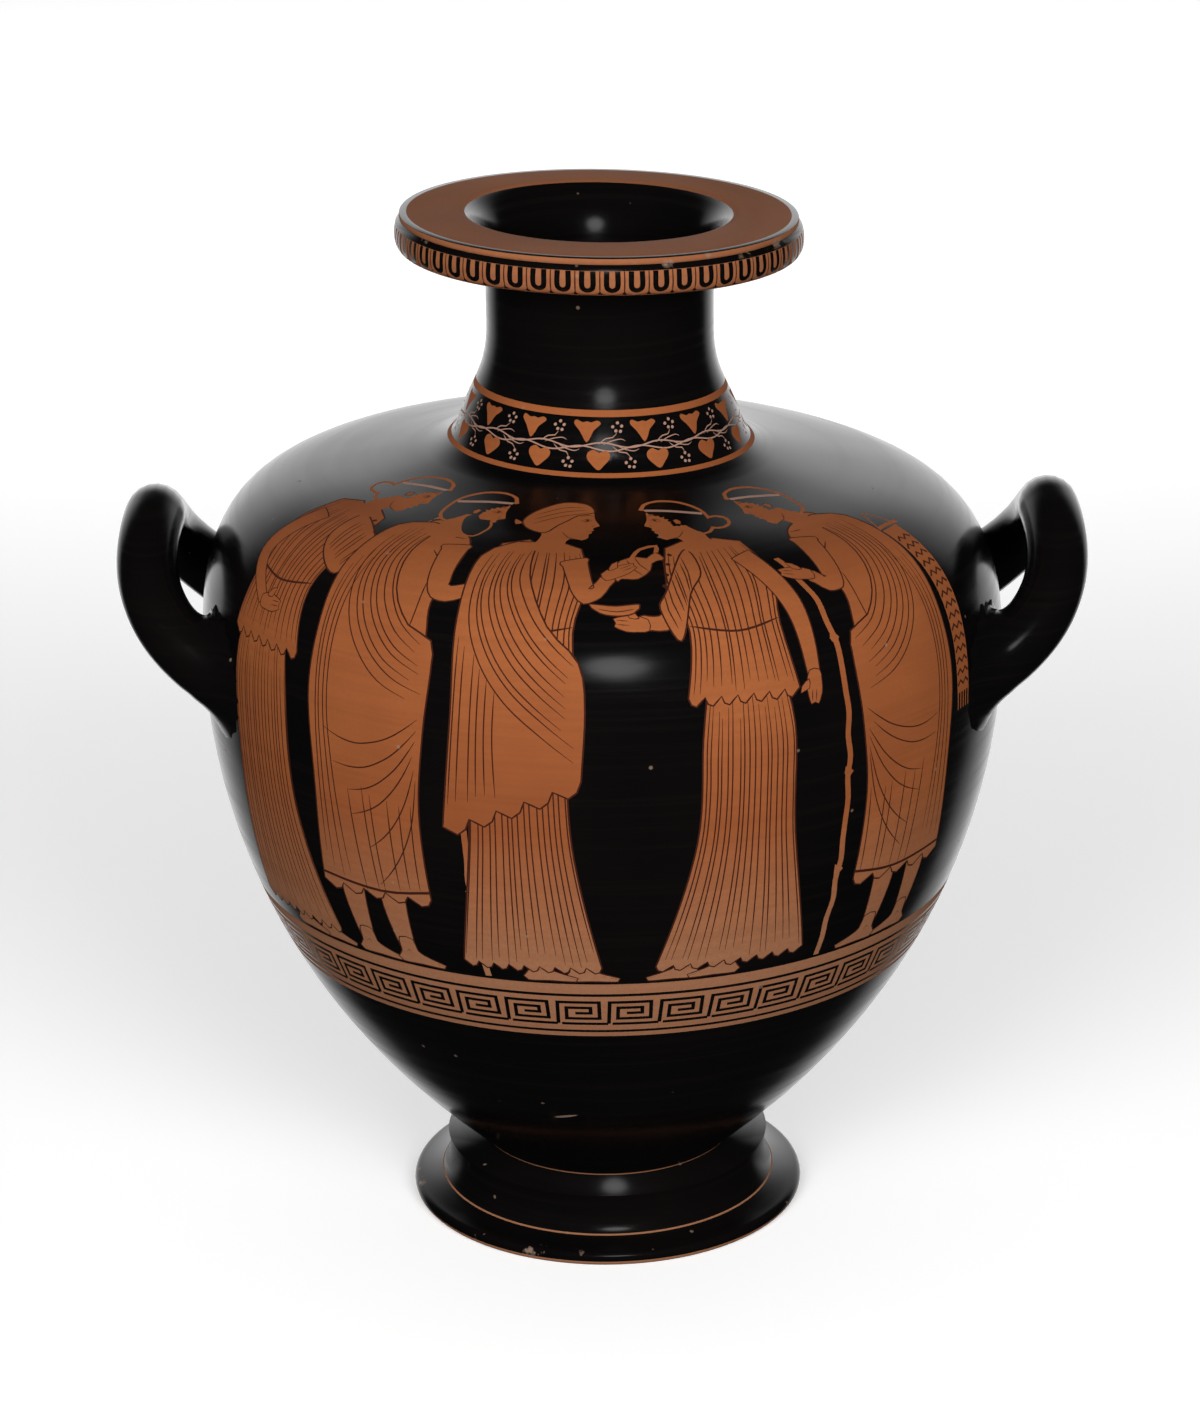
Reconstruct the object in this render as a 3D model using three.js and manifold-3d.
// A fired-clay water jar with a broad rounded shoulder, a short neck under a wide flat mouth, a stepped
// disc foot, two horizontal side handles that tip upwards and one vertical handle behind the neck.
// Millimetres, +Z up. The origin is the centre of the resting ring. The front faces -Y.
import * as THREE from "three";
import { mergeVertices } from "three/addons/utils/BufferGeometryUtils.js";
import Module from "manifold-3d";

// Foot: a resting ring, a round-edged disc, a hollow-sided drum and a sloping tread that meets the body.
const FOOT_RADIUS = 80.2;
const DISC_HEIGHT = 5.6;
const DISC_EDGE_ROUND = 2.2;
const DISC_SLOPE = 2.2;
const DISC_TREAD = 11.6;
const DRUM_HEIGHT = 16.6;
const DRUM_TOP_RADIUS = 65.8;
const DRUM_HOLLOW = 1.4;
const DRUM_HOLLOW_LOW = 3.4;
const DRUM_HOLLOW_HIGH = 11.6;
const TREAD_RISE = 2.2;
const RESTING_RING_WIDTH = 18;
const RECESS_DEPTH = 17;
const RECESS_SLOPE_WIDTH = 20;

// Body: radii, and rises from the foot's joint to the widest place and from there to the neck's base.
// Each spread, drop or pull says how far an arc holds its first direction.
const JOINT_RADIUS = 52;
const JOINT_PULL_OUT = 6.5;
const JOINT_PULL_UP = 9;
const BELLY_RADIUS = 158;
const BELLY_RISE = 213.4;
const BELLY_PULL = 132;
const SHOULDER_RISE = 82.4;
const SHOULDER_PULL = 76;
const SHOULDER_SPREAD = 57.4;
const SHOULDER_DROP = 17.4;
const WALL = 5.6;

// Floor inside: a shallow dish that turns up into the wall.
const FLOOR_THICKNESS = 17;
const FLOOR_TURN_HEIGHT = 14;
const FLOOR_TURN_WIDTH = 14;
const FLOOR_SAG = 3;

// Neck: a tight turn out of the shoulder, a flare and a straight waist.
const NECK_BASE_RADIUS = 56.6;
const NECK_RADIUS = 44;
const NECK_LENGTH = 87.6;
const FLARE_HEIGHT = 43.6;
const FLARE_LOW = 19.6;
const FLARE_HIGH = 24.9;
const TURN_OUTSIDE = 9;
const TURN_DROP = 3.6;
const TURN_INSIDE = 1.9;
const TURN_RISE = 7.3;

// Mouth: a flat-topped lip that overhangs the neck, with a stepped upper edge.
const LIP_RADIUS = 79;
const LIP_HEIGHT = 14.5;
const LIP_UNDERCUT = 7;
const LIP_UNDERSIDE_PULL = 15;
const LIP_UNDERSIDE_SAG = 2;
const LIP_EDGE_ROUND = 5;
const LIP_FACE_TAPER = 1;
const LIP_FACE_BULGE = 0.6;
const LIP_FACE_PULL = 4.4;
const LIP_STEP_WIDTH = 2.2;
const LIP_STEP_HEIGHT = 4;
const LIP_BEAD_LOW = 2.4;
const LIP_BEAD_HIGH = 1.6;
const LIP_BEAD_WIDTH = 0.6;
const MOUTH_CROWN = 0.8;
const THROAT_RADIUS = 55;
const THROAT_DEPTH = 34;
const THROAT_PULL = 20.4;
const THROAT_ROLL_WIDTH = 11;

// The thrown clay has settled a little towards +X above the belly: its rings slope by this much per
// millimetre.
const SETTLE_SLOPE = 0.022;
const SETTLE_RISE = 50;
const SETTLE_START_DROP = 35;

// Side handles: each is a round bar in a bow that leaves the wall at the belly and tips up past it.
const SIDE_PROJECTION = 17.5;
const SIDE_BOW_DEPTH = 4;
const SIDE_ROOT_LIFT = 4.5;
const SIDE_ROOT_SLOPE = 0.75;
const SIDE_RISE = 45.5;
const SIDE_LEG_RISE = 19;
const SIDE_LEG_TOE = 1;
const SIDE_CROWN_PULL = 30;
const SIDE_CROWN_DROP = 4;
const SIDE_SPREAD = 54;
const SIDE_RADIUS = 11.8;
const SIDE_ROOT_FLARE = 6;

// Back handle, in the plane X = 0, from the neck to the shoulder.
const BACK_NECK_RISE = 36;
const BACK_ARCH = 26;
const BACK_FALL = 17;
const BACK_PROJECTION = 68;
const BACK_CROWN_PULL = 34;
const BACK_TOE = 3;
const BACK_RADIUS = 10.5;
const BACK_ROOT_FLARE = 4;

// Where a handle joins: how far its ends run on inside the clay before the hollow is cut, and how far out
// from the wall the thickened root fades.
const ROOT_DEPTH = 30;
const BACK_ROOT_DEPTH = 18;
const ROOT_FADE = 7;

const LATHE_SEGMENTS = 60;
const BODY_STEPS = 11;
const SHOULDER_STEPS = 9;
const EDGE_STEPS = 4;
const SMALL_ARC_STEPS = 3;
const THROAT_STEPS = 5;
const HANDLE_SIDES = 10;
const HANDLE_STEPS = 20;
const BOW_POINTS = 10;
const WELD_DISTANCE = 1e-4;

const GLAZE_COLOUR = 0x0b0a0a;
const GLAZE_ROUGHNESS = 0.22;

const wasm = await Module();
wasm.setup();

const discTop = DISC_HEIGHT + DISC_SLOPE;
const drumTop = discTop + DRUM_HEIGHT;
const jointHeight = drumTop + TREAD_RISE;
const bellyHeight = jointHeight + BELLY_RISE;
const neckBaseHeight = bellyHeight + SHOULDER_RISE;
const mouthHeight = neckBaseHeight + NECK_LENGTH;
const lipBottom = mouthHeight - LIP_HEIGHT;
const neckTop = lipBottom - LIP_UNDERCUT;
const floorHeight = RECESS_DEPTH + FLOOR_THICKNESS;

const at = (radius, height) => new THREE.Vector2(radius, height);

// Points of a cubic arc, without its first point.
function bend(start, startPull, endPull, end, steps) {
  return new THREE.CubicBezierCurve(start, startPull, endPull, end).getPoints(steps).slice(1);
}

// The foot's outline, from the axis in the recess under it up to the drum's upper edge.
function footOutline() {
  const ringInside = FOOT_RADIUS - RESTING_RING_WIDTH;
  const discEdge = FOOT_RADIUS - DISC_EDGE_ROUND;
  // A cubic arc reaches three quarters of the way to its pulls, so this puts its widest point on the
  // foot's radius.
  const edgePull = FOOT_RADIUS + DISC_EDGE_ROUND / 3;
  const drumBase = at(FOOT_RADIUS - DISC_TREAD, discTop);
  const waist = DRUM_TOP_RADIUS - DRUM_HOLLOW;
  const discArc = bend(
    at(discEdge, 0),
    at(edgePull, 0),
    at(edgePull, DISC_HEIGHT),
    at(discEdge, DISC_HEIGHT),
    EDGE_STEPS,
  );
  const drumArc = bend(
    drumBase,
    at(waist + DRUM_HOLLOW / 2, discTop + DRUM_HOLLOW_LOW),
    at(waist, discTop + DRUM_HOLLOW_HIGH),
    at(DRUM_TOP_RADIUS, drumTop),
    SMALL_ARC_STEPS,
  );
  return [
    at(0, RECESS_DEPTH),
    at(ringInside - RECESS_SLOPE_WIDTH, RECESS_DEPTH),
    at(ringInside, 0),
    at(discEdge, 0),
    ...discArc,
    drumBase,
    ...drumArc,
  ];
}

// The body's outline, from the joint with the foot to the neck's waist.
function bodyOutline() {
  const joint = at(JOINT_RADIUS, jointHeight);
  const belly = at(BELLY_RADIUS, bellyHeight);
  const turnStart = at(NECK_BASE_RADIUS + TURN_OUTSIDE, neckBaseHeight - TURN_DROP);
  const turnEnd = at(NECK_BASE_RADIUS - TURN_INSIDE, neckBaseHeight + TURN_RISE);
  const lower = bend(
    joint,
    at(JOINT_RADIUS + JOINT_PULL_OUT, jointHeight + JOINT_PULL_UP),
    at(BELLY_RADIUS, bellyHeight - BELLY_PULL),
    belly,
    BODY_STEPS,
  );
  const shoulder = bend(
    belly,
    at(BELLY_RADIUS, bellyHeight + SHOULDER_PULL),
    at(NECK_BASE_RADIUS + SHOULDER_SPREAD, neckBaseHeight - SHOULDER_DROP),
    turnStart,
    SHOULDER_STEPS,
  );
  const turn = bend(
    turnStart,
    at(NECK_BASE_RADIUS + TURN_OUTSIDE / 2, neckBaseHeight - TURN_DROP / 2),
    at(NECK_BASE_RADIUS, neckBaseHeight),
    turnEnd,
    SMALL_ARC_STEPS,
  );
  const flare = bend(
    turnEnd,
    at(turnEnd.x - (turnEnd.x - NECK_RADIUS) / 3, neckBaseHeight + FLARE_LOW),
    at(NECK_RADIUS, neckBaseHeight + FLARE_HIGH),
    at(NECK_RADIUS, neckBaseHeight + FLARE_HEIGHT),
    EDGE_STEPS,
  );
  return [joint, ...lower, ...shoulder, ...turn, ...flare];
}

// The lip's outline, from the neck's top to the axis above the mouth.
function lipOutline() {
  const ledge = at(LIP_RADIUS - LIP_EDGE_ROUND, lipBottom);
  const stepRadius = LIP_RADIUS - LIP_STEP_WIDTH;
  const underside = bend(
    at(NECK_RADIUS, neckTop),
    at(NECK_RADIUS, lipBottom),
    at(ledge.x - LIP_UNDERSIDE_PULL, lipBottom - LIP_UNDERSIDE_SAG),
    ledge,
    SMALL_ARC_STEPS,
  );
  const face = bend(
    ledge,
    at(LIP_RADIUS - LIP_FACE_TAPER, lipBottom),
    at(LIP_RADIUS + LIP_FACE_BULGE, lipBottom + LIP_FACE_PULL),
    at(LIP_RADIUS - LIP_FACE_TAPER, mouthHeight - LIP_STEP_HEIGHT),
    SMALL_ARC_STEPS,
  );
  return [
    at(NECK_RADIUS, neckTop),
    ...underside,
    ...face,
    at(stepRadius - LIP_BEAD_WIDTH, mouthHeight - LIP_BEAD_LOW),
    at(stepRadius, mouthHeight - LIP_BEAD_HIGH),
    at(stepRadius - LIP_BEAD_WIDTH, mouthHeight),
    at(THROAT_RADIUS, mouthHeight + MOUTH_CROWN),
    at(0, mouthHeight + MOUTH_CROWN),
  ];
}

// Points moved inwards, at right angles to the outline, by the wall's thickness.
function innerSkin(points, wall) {
  return points.map((point, i) => {
    const before = points[Math.max(i - 1, 0)];
    const after = points[Math.min(i + 1, points.length - 1)];
    const along = after.clone().sub(before).normalize();
    return at(point.x - along.y * wall, point.y + along.x * wall);
  });
}

// The space inside: the body's outline less the wall, a dished floor and a throat that rolls out to the
// mouth. Every second point is enough for a surface that is seen only through the mouth.
function cavityOutline() {
  const wallStart = floorHeight + FLOOR_TURN_HEIGHT;
  const skin = innerSkin(bodyOutline(), WALL).filter((point, i) => point.y > wallStart && i % 2 === 0);
  const floorCentre = at(0, floorHeight);
  const floorRim = skin[0];
  const throat = NECK_RADIUS - WALL;
  const throatBottom = at(throat, mouthHeight - THROAT_DEPTH);
  const above = mouthHeight + LIP_HEIGHT;
  const floor = bend(
    floorCentre,
    at(floorRim.x / 2, floorHeight),
    at(floorRim.x - FLOOR_TURN_WIDTH, floorHeight + FLOOR_SAG),
    floorRim,
    SMALL_ARC_STEPS,
  );
  const roll = bend(
    throatBottom,
    at(throat, throatBottom.y + THROAT_PULL),
    at(THROAT_RADIUS - THROAT_ROLL_WIDTH, mouthHeight),
    at(THROAT_RADIUS, mouthHeight + MOUTH_CROWN),
    THROAT_STEPS,
  );
  const top = [at(THROAT_RADIUS, above), at(0, above)];
  return [floorCentre, ...floor, ...skin.slice(1), throatBottom, ...roll, ...top];
}

function solidFrom(geometry) {
  geometry.deleteAttribute("normal");
  geometry.deleteAttribute("uv");
  const merged = mergeVertices(geometry, WELD_DISTANCE);
  return new wasm.Manifold(
    new wasm.Mesh({
      numProp: 3,
      vertProperties: merged.attributes.position.array,
      triVerts: new Uint32Array(merged.index.array),
    }),
  );
}

// Slopes the rings above the belly down towards +X, and leaves the foot and the lower body level.
function settle(geometry) {
  const position = geometry.attributes.position;
  const start = bellyHeight - SETTLE_START_DROP;
  for (let i = 0; i < position.count; i++) {
    const height = position.getZ(i);
    const share = THREE.MathUtils.smoothstep(height, start, start + SETTLE_RISE);
    position.setZ(i, height - share * SETTLE_SLOPE * position.getX(i));
  }
}

// A lathe turns about Y, so it is stood up to turn about Z.
function turned(outline) {
  const lathe = new THREE.LatheGeometry(outline, LATHE_SEGMENTS);
  lathe.rotateX(Math.PI / 2);
  settle(lathe);
  return solidFrom(lathe);
}

// A round bar along a curve, closed at both ends and thicker where it is pressed on to the wall. The roots
// say how far each of its ends runs on inside the clay.
function bar(curve, radius, flare, roots) {
  const frames = curve.computeFrenetFrames(HANDLE_STEPS, false);
  const length = curve.getLength();
  const fade = (run, root) => flare * Math.exp(-Math.max(run - root, 0) / ROOT_FADE);
  const radiusAt = (share) =>
    radius + fade(share * length, roots[0]) + fade((1 - share) * length, roots[1]);
  const positions = [];
  for (let i = 0; i <= HANDLE_STEPS; i++) {
    const share = i / HANDLE_STEPS;
    const centre = curve.getPointAt(share);
    for (let j = 0; j < HANDLE_SIDES; j++) {
      const angle = (j / HANDLE_SIDES) * 2 * Math.PI;
      const point = centre
        .clone()
        .addScaledVector(frames.normals[i], Math.cos(angle) * radiusAt(share))
        .addScaledVector(frames.binormals[i], Math.sin(angle) * radiusAt(share));
      positions.push(point.x, point.y, point.z);
    }
  }
  const faces = [];
  for (let i = 0; i < HANDLE_STEPS; i++) {
    for (let j = 0; j < HANDLE_SIDES; j++) {
      const a = i * HANDLE_SIDES + j;
      const b = i * HANDLE_SIDES + ((j + 1) % HANDLE_SIDES);
      faces.push(a, b, a + HANDLE_SIDES, b, b + HANDLE_SIDES, a + HANDLE_SIDES);
    }
  }
  const last = HANDLE_STEPS * HANDLE_SIDES;
  for (let j = 1; j < HANDLE_SIDES - 1; j++) {
    faces.push(0, j + 1, j, last, last + j, last + j + 1);
  }
  const geometry = new THREE.BufferGeometry();
  geometry.setAttribute("position", new THREE.Float32BufferAttribute(positions, 3));
  geometry.setIndex(faces);
  return solidFrom(geometry);
}

// Points along half a side handle on +X, from its crown to inside the wall.
function halfBow() {
  const reach = BELLY_RADIUS + SIDE_PROJECTION;
  const rootHeight = bellyHeight + SIDE_ROOT_LIFT;
  const crownHeight = rootHeight + SIDE_RISE;
  const root = new THREE.Vector3(Math.sqrt(BELLY_RADIUS ** 2 - SIDE_SPREAD ** 2), -SIDE_SPREAD, rootHeight);
  const inwards = new THREE.Vector3(-1, 0, -SIDE_ROOT_SLOPE).normalize();
  const outside = new THREE.CubicBezierCurve3(
    new THREE.Vector3(reach, 0, crownHeight),
    new THREE.Vector3(reach + SIDE_BOW_DEPTH / 2, -SIDE_CROWN_PULL, crownHeight - SIDE_CROWN_DROP),
    new THREE.Vector3(reach + SIDE_BOW_DEPTH, SIDE_LEG_TOE - SIDE_SPREAD, rootHeight + SIDE_LEG_RISE),
    root,
  );
  return [...outside.getPoints(BOW_POINTS), root.clone().addScaledVector(inwards, ROOT_DEPTH)];
}

function sideHandle(side) {
  const front = halfBow();
  const back = front.slice(1).map((p) => new THREE.Vector3(p.x, -p.y, p.z));
  const loop = [...front.reverse(), ...back].map((p) => new THREE.Vector3(side * p.x, p.y, p.z));
  const roots = [ROOT_DEPTH, ROOT_DEPTH];
  return bar(new THREE.CatmullRomCurve3(loop), SIDE_RADIUS, SIDE_ROOT_FLARE, roots);
}

function backHandle() {
  const neckHeight = neckBaseHeight + BACK_NECK_RISE;
  const reach = NECK_RADIUS + BACK_PROJECTION;
  const curve = new THREE.CubicBezierCurve3(
    new THREE.Vector3(0, NECK_RADIUS - BACK_ROOT_DEPTH, neckHeight),
    new THREE.Vector3(0, NECK_RADIUS + BACK_CROWN_PULL, neckHeight + BACK_ARCH),
    new THREE.Vector3(0, reach, neckHeight + BACK_ARCH - BACK_FALL),
    new THREE.Vector3(0, reach + BACK_TOE, neckBaseHeight - ROOT_DEPTH),
  );
  return bar(curve, BACK_RADIUS, BACK_ROOT_FLARE, [BACK_ROOT_DEPTH, ROOT_DEPTH]);
}

// One solid: thrown wall, foot and lip with the handles pressed on, then hollowed.
function jar() {
  const outside = turned([...footOutline(), ...bodyOutline(), ...lipOutline()]);
  const withHandles = outside.add(sideHandle(-1)).add(sideHandle(1)).add(backHandle());
  return withHandles.subtract(turned(cavityOutline()));
}

function meshFrom(solid, name, material) {
  const { vertProperties, triVerts } = solid.getMesh();
  const geometry = new THREE.BufferGeometry();
  geometry.setAttribute("position", new THREE.Float32BufferAttribute(vertProperties, 3));
  geometry.setIndex(new THREE.Uint32BufferAttribute(triVerts, 1));
  geometry.computeVertexNormals();
  const mesh = new THREE.Mesh(geometry, material);
  mesh.name = name;
  return mesh;
}

const glaze = new THREE.MeshStandardMaterial({
  color: GLAZE_COLOUR,
  roughness: GLAZE_ROUGHNESS,
  metalness: 0,
});

const group = new THREE.Group();
group.name = "water_jar";
group.add(meshFrom(jar(), "hydria", glaze));

export default group;
